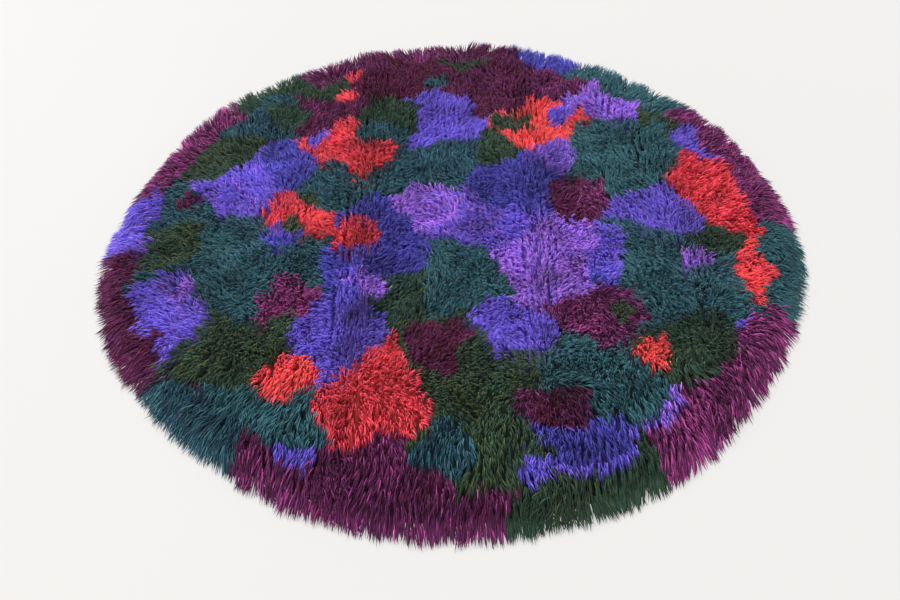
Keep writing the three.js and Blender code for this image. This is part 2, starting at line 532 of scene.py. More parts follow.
def yarn_material(name, colour):
    """Matt wool: painted shade darkens it down at the knot, it is full in colour higher up, and painted light
    makes its tip a little paler.
    """
    shader = Shader(f"{name}_wool")
    along = shader.attribute("along")
    shade = shader.attribute("shade")
    place = shader.node("ShaderNodeTexCoord", output="Object")
    fuzz = shader.node("ShaderNodeTexNoise", None, {"Vector": place, "Scale": 330.0, "Detail": 3.0}, output=0)

    dyed = linear(colour)
    # Painted shade: the strand darkens towards its knot, where the pile shades it, and less so for bright
    # yarns.
    depth = 0.30 + 0.62 * max(colour)
    root_shade_colour = [depth * c for c in dyed[:3]] + [1.0]
    # Painted light: the tip is paler and brighter, as if light shone through the wool.
    pale = [min(1.25 * c + 0.02, 1.0) for c in dyed[:3]] + [1.0]
    body = shader.blend(shader.fade(along, 0.10, 0.55), root_shade_colour, dyed)
    tipped = shader.blend(shader.fade(along, 0.72, 1.0, 0.0, 0.55), body, pale)
    # The shade attribute brightens or darkens each strand: its own and its knot's random tone, and the
    # painted light and shade of its place.
    toned = shader.brighten(tipped, 0.74 + 0.36 * shade + 0.56 * fuzz)
    bump = shader.node("ShaderNodeBump", None, {"Strength": 0.35, "Distance": 0.0006, "Height": fuzz})
    return shader.finish(
        Base_Color=toned, Roughness=0.86 + 0.12 * fuzz, Normal=bump, Sheen_Weight=0.06, Sheen_Roughness=0.5,
        Specular_IOR_Level=0.12, Subsurface_Weight=0.2, Subsurface_Scale=0.003,
        Subsurface_Radius=(1.0, 1.0, 1.0),
    )


def ground_material(pile):
    """The woven ground: weft packed over a warp, tinted by the knots, its tone rising and falling with each
    row of knots.
    """
    shader = Shader("woven_ground")
    place = shader.node("ShaderNodeTexCoord", output="Object")
    axes = [shader.node("ShaderNodeSeparateXYZ", None, {0: place}, output=axis) for axis in range(2)]
    thread_pitch = 0.0032
    across, along = (
        0.5 + 0.5 * shader.node("ShaderNodeMath", {"operation": "SINE"}, [axis * (FULL_TURN / thread_pitch)])
        for axis in axes
    )
    row = shader.node("ShaderNodeMath", {"operation": "SINE"}, [axes[0] * (FULL_TURN / pile.row_pitch)])
    fuzz = shader.node("ShaderNodeTexNoise", None, {"Vector": place, "Scale": 420.0, "Detail": 3.0}, output=0)
    weave = 0.5 * across + 0.5 * along
    tone = 0.55 + 0.5 * weave + 0.25 * row + 0.4 * fuzz
    tint = shader.node("ShaderNodeAttribute", {"attribute_name": "knots"}, output="Color")
    colour = shader.brighten(tint, tone)
    relief = weave + 0.5 * fuzz
    bump = shader.node("ShaderNodeBump", None, {"Strength": 0.6, "Distance": 0.0012, "Height": relief})
    return shader.finish(Base_Color=colour, Roughness=0.85 + 0.1 * fuzz, Normal=bump, Sheen_Weight=0.1)


def floor_material(colour):
    """A plain painted floor, with the faintest unevenness."""
    shader = Shader("pale_floor")
    place = shader.node("ShaderNodeTexCoord", output="Object")
    cloud = shader.node("ShaderNodeTexNoise", None, {"Vector": place, "Scale": 0.7, "Detail": 2.0}, output=0)
    toned = shader.brighten(linear(colour), 0.985 + 0.03 * cloud)
    return shader.finish(
        Base_Color=toned, Roughness=0.6, Specular_IOR_Level=0.2, Emission_Color=toned, Emission_Strength=2.2,
    )


def tip_radius(angle):
    """The radius of the rug's outline at these angles."""
    waves = (
        wave["height"] * np.cos(wave["count"] * (angle - math.radians(wave["crest"])))
        for wave in OUTLINE_WAVES
    )
    return RUG_RADIUS + sum(waves)


def inset_at(x, y):
    """How far these places lie inside the tips of the pile."""
    return tip_radius(np.arctan2(y, x)) - np.hypot(x, y)


def smooth_step(value, low, high):
    t = np.clip((value - low) / (high - low), 0, 1)
    return t * t * (3 - 2 * t)


def unit(vectors):
    """These vectors at a length of 1."""
    return vectors / np.maximum(np.linalg.norm(vectors, axis=-1, keepdims=True), TINY)


def turned(way, angle):
    """These directions turned to the left by these angles."""
    cos, sin = np.cos(angle), np.sin(angle)
    return np.stack([way[:, 0] * cos - way[:, 1] * sin, way[:, 0] * sin + way[:, 1] * cos], 1)


def drift(name, x, y):
    """The smooth noise of this name, from about -1 to 1, at these places."""
    across, layer = DRIFTS[name]
    depth = layer + BETWEEN_LAYERS
    return np.array([noise.noise(Vector((a / across, b / across, depth))) for a, b in zip(x, y)]) * DRIFT_GAIN


def drifting_share(name, x, y, mean, spread):
    """A share that drifts round this mean from place to place, and stays from 0 to 1."""
    return np.clip(mean + spread * drift(name, x, y), 0, 1)


def fold_offsets(x, y):
    """For each place, its distance to the right of the nearest fold, and how far the pile on it stands up."""
    along = y / FOLD_REACH
    offsets = []
    for fold in FOLDS:
        slant = (fold["back"] - fold["front"]) / 2
        bend = (fold["back"] + fold["front"]) / 2 - fold["halfway"]
        offsets.append(x - (fold["halfway"] + slant * along + bend * along**2))
    offsets = np.array(offsets)
    nearest = np.abs(offsets).argmin(0)
    stands = np.array([fold["stands"] for fold in FOLDS])[nearest]
    return offsets[nearest, np.arange(len(x))], stands


class Solid:
    """The rug's solid, whose upper surface the pile follows."""

    def __init__(self, node):
        mesh = bmesh.new()
        mesh.from_mesh(node.data)
        self.tree = BVHTree.FromBMesh(mesh)
        mesh.free()

    def heights(self, x, y):
        """How high the solid is at these places, 0 past its edge."""
        down = Vector((0, 0, -1))
        hits = (self.tree.ray_cast(Vector((a, b, 1.0)), down)[0] for a, b in zip(x, y))
        return np.array([hit.z if hit else 0.0 for hit in hits])


class Patches:
    """Pebble-shaped colour patches on a sunflower spiral, accents on them, and a band round the edge."""

    def __init__(self, settings):
        self.settings = settings
        rng = np.random.default_rng(settings.seed)
        count = settings.count
        turn = math.pi * (3 - math.sqrt(5))
        radius = RUG_RADIUS * np.sqrt((np.arange(count) + 0.5) / count)
        angle = np.arange(count) * turn
        spacing = RUG_RADIUS * math.sqrt(math.pi / count)
        self.seeds = np.stack([radius * np.cos(angle), radius * np.sin(angle)], 1)
        self.seeds += rng.normal(0, PATCH_STRAY * spacing, self.seeds.shape)
        self.sizes = np.exp(rng.normal(0, PATCH_SIZE_SPREAD, count))
        self.families = self.choose(rng, NEIGHBOUR_REACH * spacing)
        self.moods = rng.random(count)

        far = ACCENT_REACH * RUG_RADIUS * np.sqrt(rng.random(settings.accents))
        way = FULL_TURN * rng.random(settings.accents)
        self.accents = np.stack([far * np.cos(way), far * np.sin(way)], 1)
        self.accent_radii = rng.uniform(*ACCENT_RADII, settings.accents)
        self.accent_families = rng.choice(len(FAMILIES), settings.accents, p=self.shares())
        self.accent_moods = rng.random(settings.accents)

    @staticmethod
    def shares():
        """The share of each family, all of them adding up to 1."""
        shares = np.array([family["share"] for family in FAMILIES.values()])
        return shares / shares.sum()

    def choose(self, rng, near):
        """Gives each patch a family, keeping to their shares and away from a neighbour in the same one."""
        count = len(self.seeds)
        left = self.shares() * count
        chosen = np.full(count, -1)
        for i in rng.permutation(count):
            close = np.hypot(*(self.seeds - self.seeds[i]).T) < near
            weights = np.maximum(left, UNLIKELY)
            for family in set(chosen[close]) - {-1}:
                weights[family] *= UNLIKELY
            chosen[i] = rng.choice(len(FAMILIES), p=weights / weights.sum())
            left[chosen[i]] -= 1
        return chosen

    def at(self, x, y):
        """The number of the family that each knot is tied in, and how pale it is there, from 0 to 1."""
        edge, notch = self.settings.wobble, NOTCH_SHARE * self.settings.wobble
        moved_x = x + edge * drift("patch_edge_x", x, y) + notch * drift("patch_notch_x", x, y)
        moved_y = y + edge * drift("patch_edge_y", x, y) + notch * drift("patch_notch_y", x, y)
        places = np.stack([moved_x, moved_y], 1)
        gaps = np.linalg.norm(places[:, None] - self.seeds[None], axis=2) / self.sizes
        patch = gaps.argmin(1)
        family, mood = self.families[patch], self.moods[patch]
        for place, radius, accent, tone in zip(
            self.accents, self.accent_radii, self.accent_families, self.accent_moods
        ):
            here = np.hypot(*(places - place).T) < radius
            family[here], mood[here] = accent, tone
        angle = np.arctan2(moved_y, moved_x)
        stretch_ends = np.cumsum([share for _, share in BORDER])
        stretch = np.searchsorted(stretch_ends / stretch_ends[-1], (angle / FULL_TURN) % 1.0)
        stretch = stretch.clip(0, len(BORDER) - 1)
        border = np.array([FAMILY_NAMES.index(name) for name, _ in BORDER])
        in_border = inset_at(moved_x, moved_y) < self.settings.border_width
        family = np.where(in_border, border[stretch], family)
        mood = np.where(in_border, (BORDER_PALENESS_STEP * stretch + BORDER_PALENESS) % 1.0, mood)
        return family, mood


def row_wave(x, y):
    """How far a row of knots wanders to the right of a straight line."""
    return ROW_WAVE["height"] * np.sin(y * ROW_WAVE["turn_along"] + x * ROW_WAVE["turn_across"])


def front_share(angle):
    """How far this direction lies at the front, where the rows of knots run out over the rim, 0 to 1."""
    left = smooth_step(-np.cos(angle), *LEFT_COSINES)
    return smooth_step(-np.sin(angle) - LEFT_LAG * left, *FRONT_SINES)


def standing(angle):
    """How far the pile at the rim stands up: 0 at the front, where it falls to the floor, 1 at the back."""
    return smooth_step(np.sin(angle), *BACK_SINES)


def combed(x, y):
    """How far the pile is combed straight down towards the front, so that its rows show, 0 to 1."""
    more = COMBED_MORE * smooth_step(-np.sin(np.arctan2(y, x)), *COMBED_SINES)
    width = COMBED_WIDTH + more + COMBED_UNEVEN * drift("combed", x, y)
    return 1 - smooth_step(inset_at(x, y) / width, *COMBED_FADE)


def rim_height(angle, inset):
    """The height of the pile this far inside the tips, as a share of its height further in."""
    width = FALL_WIDTH - FALL_WIDTH_LESS * standing(angle)
    return 1 - (1 - np.clip(inset / width, 0, 1)) ** FALL_ROUNDNESS


def knot_places(pile, rng):
    """Where the knots are tied: in rows from back to front, and in two more rows round the edge."""
    span = RUG_RADIUS + LAYOUT_MARGIN
    reach = math.ceil(span / pile.row_pitch)
    rows = pile.row_pitch * np.arange(-reach, reach + 1)
    steps = np.arange(-RUG_RADIUS - LAYOUT_MARGIN, span, pile.knot_pitch)
    x, y = (grid.ravel() for grid in np.meshgrid(rows, steps))
    x = x + rng.normal(0, KNOT_STRAY_ACROSS, len(x)) + row_wave(x, y)
    y = y + rng.normal(0, KNOT_STRAY_ALONG, len(y))
    inside = inset_at(x, y) > pile.ground_inset + STRAIGHT_ROWS_END

    count = 2 * int(FULL_TURN * RUG_RADIUS / pile.edge_knot_pitch)
    angle = rng.permutation(count) / count * FULL_TURN
    radius = tip_radius(angle) - pile.ground_inset - rng.uniform(*EDGE_ROWS_BAND, count)
    edge_x, edge_y = radius * np.cos(angle), radius * np.sin(angle)
    row = pile.row_pitch * np.round(edge_x / pile.row_pitch)
    edge_x += EDGE_ROWS_SHIFT * front_share(angle) * (row + row_wave(row, edge_y) - edge_x)
    return np.concatenate([x[inside], edge_x]), np.concatenate([y[inside], edge_y])


def lay_of_pile(x, y):
    """Which way the pile falls from each knot, as a direction in the plane, and how far it stands up, 0 to 1.

    Gives as well how near it lies to the line of a fold, 0 to 1, where painted shade darkens the pile.
    """
    angle = np.arctan2(y, x)
    offset, stands = fold_offsets(x, y)
    front = front_share(angle)
    far, near = OUTWARD_INSETS
    rimward = np.maximum(smooth_step(-inset_at(x, y), -far, -near), combed(x, y))

    outward = np.stack([np.cos(angle), np.sin(angle)], 1)
    near_fold = np.exp(-((offset / FOLD_DRAWS) ** 2))
    parting = np.tanh((offset + PARTING_WANDER * drift("parting", x, y)) / PARTING_SOFTNESS)
    sideways = np.clip(LIE_SIDEWAYS * drift("lie_sideways", x, y), -1, 1)
    side = near_fold * parting + (1 - near_fold) * sideways
    inner = np.stack([side, LIE_LENGTHWAYS * drift("lie_lengthways", x, y)], 1) + LIE_OUTWARDS * outward
    outward[:, 0] *= 1 - FRONT_STRAIGHTENS * front
    outward[:, 1] -= FORWARD_DROOP * np.abs(np.cos(angle)) * (1 - standing(angle))
    way = (1 - rimward)[:, None] * inner + rimward[:, None] * outward
    strength = np.linalg.norm(way, axis=1)
    swirl = SWIRL_TURN * drift("swirl", x, y) + WHORL_TURN * drift("whorl", x, y)
    way = turned(unit(way), (1 - (RIM_CALMS + FRONT_CALMS * front) * rimward) * swirl)

    upright = drifting_share("ragged", x, y, mean=0.70, spread=0.6) * np.exp(-((offset / FOLD_STANDS) ** 4))
    upright = np.maximum(upright, PARTING_UPRIGHT * np.exp(-((offset / FOLD_PARTS) ** 2)))
    upright = stands * upright * (1 - RIM_LAYS_DOWN * rimward)
    tangled = np.minimum(drifting_share("tangle", x, y, mean=0.25, spread=0.35), TANGLED_UPRIGHT)
    undecided = np.clip(UNDECIDED_UPRIGHT - UNDECIDED_FALL * strength, 0, 1)
    upright = np.maximum(np.maximum(upright, tangled * (1 - rimward)), undecided)
    # Painted shade: the pile along the line of a fold is darkened.
    crease_shade = stands * np.exp(-((offset / FOLD_CREASES) ** 2))
    return way, upright, crease_shade * drifting_share("crease_shade", x, y, mean=0.6, spread=0.7)


def spun(places, steps):
    """A mesh that a line of points makes in one turn about Z."""
    made = bmesh.new()
    points = [made.verts.new(place) for place in places]
    edges = [made.edges.new(pair) for pair in zip(points, points[1:])]
    bmesh.ops.spin(
        made, geom=points + edges, cent=(0, 0, 0), axis=(0, 0, 1), dvec=(0, 0, 0), angle=FULL_TURN,
        steps=steps, use_merge=True, use_duplicate=False,
    )
    bmesh.ops.remove_doubles(made, verts=made.verts[:], dist=JOIN_GAP)
    return made


def strand_shape(stations):
    """A three-sided strand with a point at each end, as a mesh along Z that is 1 long and up to 1 in radius.

    Each station has how far along the strand it is and its radius. Gives the places of its points and the
    corners, sides and distances along the strand of its faces.
    """
    shape = spun([(radius, 0, along) for along, radius in stations], STRAND_SIDES)
    bmesh.ops.recalc_face_normals(shape, faces=shape.faces[:])
    shape.verts.index_update()
    places = np.array([v.co for v in shape.verts])
    faces = [[v.index for v in face.verts] for face in shape.faces]
    centres = [face.calc_center_median() for face in shape.faces]
    middles = [math.atan2(centre.y, centre.x) for centre in centres]
    shape.free()
    return places, faces, middles


class Strands:
    """The strands of one shade of yarn, as arrays of points and faces that end up in one mesh."""

    def __init__(self):
        self.points = []
        self.corners = []
        self.face_sizes = []
        self.along = []
        self.shade = []
        self.map_places = []
        self.total = 0

    def add(self, shape, paths, shades, cells):
        """Bends a copy of the shape along each path: a place, a side and an upward vector per station."""
        places, faces, middles = shape
        centre, side, up = paths
        station = np.unique(np.round(places[:, 2], 6), return_inverse=True)[1]
        across, above = places[None, :, :1], places[None, :, 1:2]
        points = centre[:, station] + across * side[:, station] + above * up[:, station]
        count, size = points.shape[:2]
        corner = np.concatenate(faces)
        starts = self.total + size * np.arange(count)
        self.points.append(points.reshape(-1, 3))
        self.corners.append((starts[:, None] + corner[None]).ravel())
        self.face_sizes.append(np.tile([len(face) for face in faces], count))
        self.along.append(np.tile(places[:, 2], count))
        self.shade.append(np.repeat(shades, size))
        self.map_places.append(self.mapped(places, faces, middles, cells).reshape(-1, 2))
        self.total += count * size

    @staticmethod
    def mapped(places, faces, middles, cells):
        """Where each corner lies on the strand's cell of the map: across by side, and up by distance."""
        local = []
        for face, middle in zip(faces, middles):
            for corner in face:
                x, y, along = places[corner]
                turn = 0.0
                if math.hypot(x, y) > TINY:
                    turn = (math.atan2(y, x) - middle + math.pi) % FULL_TURN - math.pi
                local.append((((middle / FULL_TURN) % 1.0) + turn / FULL_TURN, along))
        local = np.array(local)
        low, high = local.min(0), local.max(0)
        local = CELL_MARGIN + (1 - 2 * CELL_MARGIN) * (local - low) / (high - low)
        corner_cell, cell_size = cells
        return corner_cell[:, None] + cell_size * local[None]

    def mesh(self, name):
        """One mesh of all the strands, with their attributes and their map."""
        mesh = bpy.data.meshes.new(name)
        points = np.concatenate(self.points)
        corners = np.concatenate(self.corners)
        sizes = np.concatenate(self.face_sizes)
        mesh.vertices.add(len(points))
        mesh.vertices.foreach_set("co", points.astype(np.float32).ravel())
        mesh.loops.add(len(corners))
        mesh.loops.foreach_set("vertex_index", corners.astype(np.int32))
        mesh.polygons.add(len(sizes))
        mesh.polygons.foreach_set("loop_start", (np.cumsum(sizes) - sizes).astype(np.int32))
        mesh.polygons.foreach_set("use_smooth", np.ones(len(sizes), bool))
        mesh.update(calc_edges=True)
        for attribute, values in (("along", self.along), ("shade", self.shade)):
            layer = mesh.attributes.new(attribute, "FLOAT", "POINT")
            layer.data.foreach_set("value", np.concatenate(values).astype(np.float32))
        layer = mesh.uv_layers.new(name="OFBake")
        layer.data.foreach_set("uv", np.concatenate(self.map_places).astype(np.float32).ravel())
        mesh.validate()
        return mesh


class Knots:
    """All knots of the pile, and the strands that leave them, as arrays with one row for each strand."""

    def __init__(self, pile, patches, solid):
        rng = np.random.default_rng(pile.seed)
        self.pile = pile
        self.solid = solid
        x, y = knot_places(pile, rng)
        way, upright, crease_shade = lay_of_pile(x, y)
        family, mood = patches.at(x, y)
        tuft = {
            "turn": rng.normal(0, KNOT_TURN, len(x)),
            "length": rng.normal(1.0, KNOT_LENGTH, len(x)),
            "layer": rng.uniform(0, KNOT_LAYER, len(x)),
            "bow": KNOT_BOW * drift("bow", x, y),
            "shade": rng.uniform(-1, 1, len(x)),
        }
        # Painted light and shade of each place: broad random unevenness that stands for lumps and hollows,
        # lighter on slopes towards the window, and darker along the folds.
        uneven = PLACE_SHADE["uneven"] * (drift("shade", x, y) + drift("fine_shade", x, y))
        shade = uneven + PLACE_SHADE["lit"] * self.lit(x, y) - PLACE_SHADE["crease_shade"] * crease_shade
        mix = drifting_share("yarn_mix", x, y, mean=0.5, spread=0.5)
        blend = YARN_BLEND["patch"] * mood + YARN_BLEND["place"] * mix

        every = np.repeat(np.arange(len(x)), pile.yarns_per_knot)
        draw = YARN_CHOICE["own"] * rng.random(len(every)) + YARN_CHOICE["blend"] * blend[every]
        self.yarn = self.pick_yarns(family[every], draw)
        own_shade = STRAND_SHADE["own"] * rng.uniform(-1, 1, len(every))
        self.shade = (
            own_shade + STRAND_SHADE["knot"] * tuft["shade"][every] + STRAND_SHADE["place"] * shade[every]
        )
        tuft = {name: values[every] for name, values in tuft.items()}
        self.lay_strands(x[every], y[every], way[every], upright[every], tuft, rng)

    def lit(self, x, y):
        """How far the pile here slopes towards the window, at the back on the left, from about -1 to 1."""
        rise_x = self.solid.heights(x + SLOPE_STEP, y) - self.solid.heights(x - SLOPE_STEP, y)
        rise_y = self.solid.heights(x, y + SLOPE_STEP) - self.solid.heights(x, y - SLOPE_STEP)
        away = smooth_step(inset_at(x, y), *SLOPE_INSETS)
        return away * (WINDOW_WAY[0] * rise_x + WINDOW_WAY[1] * rise_y) / (2 * SLOPE_STEP)

    def pick_yarns(self, family, draw):
        """The number of each strand's yarn, by its family and a number from 0, dark, to 1, pale."""
        names = list(YARNS)
        yarn = np.zeros(len(family), int)
        for number, row in enumerate(FAMILIES.values()):
            here = family == number
            ends = np.cumsum(list(row["yarns"].values()))
            choices = np.array([names.index(name) for name in row["yarns"]])
            picked = np.searchsorted(ends / ends[-1], draw[here]).clip(0, len(choices) - 1)
            yarn[here] = choices[picked]
        return yarn

    def lay_strands(self, x, y, way, upright, tuft, rng):
        """Works out where each strand leaves its knot, how it lies and where it ends, and its thickness."""
        pile = self.pile
        count = len(x)
        near_rim = combed(x, y)
        front = front_share(np.arctan2(y, x))
        layer = tuft["layer"] + rng.uniform(*STRAND_LAYERS, count)
        hidden_row = (1 - near_rim) * (1 - np.clip(UPRIGHT_SHOWS_ROWS * upright, 0, 1))
        low = (layer < LOW_LAYER) * (1 - upright)
        spread = ROOT_SPREAD + ROOT_SPREAD_HIDDEN * np.maximum(hidden_row, LOW_SPREAD * low)
        x = x + rng.uniform(-1, 1, count) * spread
        y = y + rng.uniform(-1, 1, count) * ROOT_SPREAD_ALONG
        angle = np.arctan2(y, x)
        inset = inset_at(x, y)
        stands = standing(angle)
        edge = 1 - smooth_step(inset, *EDGE_INSETS)

        aside = rng.uniform(-LOOSE_ASIDE, LOOSE_ASIDE, count)
        loose = np.stack([aside, np.where(rng.random(count) < 0.5, -1.0, 1.0)], 1)
        turn = STRAND_TURN - (STRAND_TURN_RIM + STRAND_TURN_FRONT * front) * near_rim
        turn = turn + STRAND_TURN_LOW * low * near_rim
        way = turned(way, tuft["turn"] + turn * rng.normal(0, 1, count))
        way = unit(way + (LOOSE_SHARE * upright)[:, None] * (loose - way))
        side = np.stack([-way[:, 1], way[:, 0]], 1)

        length = pile.yarn_length + (pile.edge_yarn_length - pile.yarn_length) * near_rim
        length = length * tuft["length"] * rng.normal(1.0, STRAND_LENGTH_SPREAD, count)
        rim_reach = (REACH["near_rim"] * near_rim + REACH["at_edge"] * edge) * (1 - RIM_STANDS_REACH * stands)
        reach = length * (REACH["inside"] + rim_reach - REACH["on_fold"] * upright)
        outward = way[:, 0] * np.cos(angle) + way[:, 1] * np.sin(angle)
        _, aside, longer = self.locks(x, y)
        pointed = PAST_OUTLINE["long_lock"] * longer - PAST_OUTLINE["lock_side"] * aside
        pointed = pointed + PAST_OUTLINE["mean"]
        uneven = rng.uniform(-PAST_OUTLINE["spread"], PAST_OUTLINE["spread"], count)
        room = inset + pointed * (1 - STANDING_LOSES_LOCK * stands)
        room = room + (1 - STANDING_LOSES_SPREAD * stands) * uneven + PAST_OUTLINE["standing"] * stands
        reach = np.where(reach * outward > room, room / np.maximum(outward, LEAST_OUTWARD), reach)

        root = np.stack([x, y], 1)
        stray = TIP_BOW * tuft["bow"] + rng.normal(0, TIP_STRAY, count)
        tip = self.gather_locks(root + way * reach[:, None] + side * stray[:, None], 1 - low)
        aside = self.locks(*tip.T)[1]
        # Painted shade in the grooves between the locks at the front rim.
        self.shade -= LOCK_SIDE_SHADE * (aside - LOCK_SIDE_FROM) * front * near_rim

        layer = layer + (1.0 - layer) * np.maximum(FOLD_LIFTS * upright, RIM_LIFTS * stands * edge)
        heights = self.strand_heights(root, tip, layer, upright, stands * edge, near_rim, rng)
        self.bend_strands(root, tip, side, heights, tuft["bow"], rng)
        shares = rng.uniform(*THICKNESS_SHARES, count)
        thicker = (EDGE_THICKER + FRONT_EDGE_THICKER * front) * edge
        self.thickness = 0.5 * pile.yarn_thickness * shares * (1 + thicker)
        self.bends = np.where(layer + rng.normal(0, SHOWING_SPREAD, count) > SHOWING_LAYER, TOP, FILL)
        tip_inset = inset_at(*tip.T)
        self.bends[tip_inset < SHOWING_INSET] = TOP
        self.bends[tip_inset < RIM_INSET] = RIM

    def strand_heights(self, root, tip, layer, upright, spike, near_rim, rng):
        """How high each strand is at its rise, its shoulder and its tip."""
        count = len(root)
        knot_falls = KNOT_KEEPS + KNOT_FALLS * rim_height(np.arctan2(*root.T[::-1]), inset_at(*root.T))
        root_height = self.heights(*root.T) * knot_falls
        tip_height = self.heights(*tip.T) * rim_height(np.arctan2(*tip.T[::-1]), inset_at(*tip.T))

        rise = RISE["height"] * layer * root_height
        between = SHOULDER_ROOT_SHARE * root_height + SHOULDER_TIP_SHARE * tip_height
        share = SHOULDER["height"] - UPRIGHT_SHOULDER_LESS * upright
        shoulder = share * layer * np.minimum(between, root_height) * (1 - SPIKE_SHOULDER_LESS * spike)
        share = TIP_SHARE + TIP_SHARE_SPREAD * rng.random(count) + TIP_SHARE_SPIKE * spike
        end = np.minimum(layer * tip_height * share, TIP_HIGHEST)
        end = end + TIP_LOWEST + TIP_RIM_SPREAD * rng.random(count) * near_rim
        return rise, shoulder, end

    def bend_strands(self, root, tip, side, heights, bow, rng):
        """The four points that the curve of each strand runs by: its knot, rise, shoulder and tip."""
        rise, shoulder, end = heights
        count = len(root)
        sideways = (bow + rng.normal(0, STRAND_BOW_SPREAD, count))[:, None] * side
        flat = tip - root
        knot = np.column_stack([root, np.full(count, KNOT_HEIGHT)])
        between = (
            np.column_stack([
                root + point["along"] * flat + point["bow"] * sideways, np.maximum(height, point["least"]),
            ])
            for point, height in ((RISE, rise), (SHOULDER, shoulder))
        )
        self.curve = np.stack([knot, *between, np.column_stack([tip, end])])
        self.roll = rng.uniform(0, FULL_TURN, count)

    def heights(self, x, y):
        """How high the pile stands here, leaving out how it falls at the rim."""
        angle = np.arctan2(y, x)
        radius = np.minimum(np.hypot(x, y), tip_radius(angle) - SOLID_TOP_INSET)
        return self.solid.heights(radius * np.cos(angle), radius * np.sin(angle)) + PROUD_OF_SOLID

    def locks(self, x, y):
        """The locks that the pile near the rim clings to. At the front each row of knots makes a lock.

        Gives the way from each place to the middle of its lock, how far aside it lies in that lock, 0 to 1,
        and how much longer than the mean the lock is, -1 to 1.
        """
        pitch = self.pile.row_pitch
        angle = np.arctan2(y, x)
        front = front_share(angle)
        wave = row_wave(x, y)
        row = np.round((x - wave) / pitch)
        to_row = pitch * row + wave - x

        ring = LOCK_RING_STEP * LOCK_COUNT / FULL_TURN
        wander = LOCK_WANDER * drift("lock_place", ring * np.cos(angle), ring * np.sin(angle))
        around = angle / FULL_TURN * LOCK_COUNT + wander
        width = FULL_TURN / LOCK_COUNT * np.hypot(x, y)
        to_lock = (np.round(around) - around) * width

        way = front[:, None] * np.stack([to_row, 0 * x], 1)
        way += ((1 - front) * to_lock)[:, None] * np.stack([-np.sin(angle), np.cos(angle)], 1)
        aside = 2 * (front * np.abs(to_row) / pitch + (1 - front) * np.abs(to_lock) / width)
        row_longer = drift("row_reach", ROW_STEP * row, 0 * x)
        lock_longer = drift("lock_reach", np.round(around), 0 * x)
        return way, aside, front * row_longer + (1 - front) * lock_longer

    def gather_locks(self, tip, clings):
        """Near the rim the tips that cling, from 0 to 1, gather in locks, over others that fill the gaps."""
        front = front_share(np.arctan2(*tip.T[::-1]))
        cling = (CLING + CLING_FRONT * front) * (1 - smooth_step(inset_at(*tip.T), 0.0, CLING_BAND))
        return tip + (clings * cling)[:, None] * self.locks(*tip.T)[0]

    def paths(self, chosen, stations):
        """The place, side and upward vector of these strands at each station."""
        t = np.array([along for along, _ in stations])[None, :, None]
        knot, rise, shoulder, tip = (point[chosen][:, None] for point in self.curve)
        start = (1 - t) ** 3 * knot + 3 * t * (1 - t) ** 2 * rise
        centre = start + 3 * t**2 * (1 - t) * shoulder + t**3 * tip
        heading = (1 - t) ** 2 * (rise - knot) + 2 * t * (1 - t) * (shoulder - rise)
        heading = unit(heading + t**2 * (tip - shoulder))
        across = unit(np.cross(np.array([0.0, 0.0, 1.0]), tip - knot))
        upward = unit(np.cross(heading, across))
        thick = self.thickness[chosen][:, None, None]
        cos = np.cos(self.roll[chosen])[:, None, None]
        sin = np.sin(self.roll[chosen])[:, None, None]
        return centre, thick * (cos * across + sin * upward), thick * (cos * upward - sin * across)

    def strands_of(self, yarn, shapes):
        """All strands of one shade, each with as many bends as its place asks for."""
        made = Strands()
        mine = np.flatnonzero(self.yarn == yarn)
        columns = math.ceil(math.sqrt(len(mine)))
        numbers = np.arange(len(mine))
        cells = np.stack([numbers % columns, numbers // columns], 1) / columns
        for kind, (stations, shape) in enumerate(zip(STATIONS, shapes)):
            here = self.bends[mine] == kind
            if here.any():
                chosen = mine[here]
                made.add(shape, self.paths(chosen, stations), self.shade[chosen], (cells[here], 1 / columns))
        return made


def dress(piece):
    """Puts a finished piece in the scene in place of the solid."""
    bpy.context.scene.collection.objects.link(piece)
    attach(piece, BODY)
    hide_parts(RUG_NODE)
    return piece


class RYA_OT_pile(Operator):
    """Tie the knots and lay their yarns, one piece for each shade"""

    bl_idname = "rya.pile"
    bl_label = "Pile"

    def execute(self, context):
        scene = context.scene
        solid = Solid(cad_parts[RUG_NODE])
        knots = Knots(scene.rya_pile, Patches(scene.rya_patches), solid)
        shapes = [strand_shape(stations) for stations in STATIONS]
        for number, name in enumerate(YARNS):
            strands = knots.strands_of(number, shapes)
            mesh = strands.mesh(f"{name}_pile")
            mesh.materials.append(yarn_material(name, getattr(scene.rya_yarns, name)))
            dress(bpy.data.objects.new(f"{name}_pile", mesh))
        return {"FINISHED"}


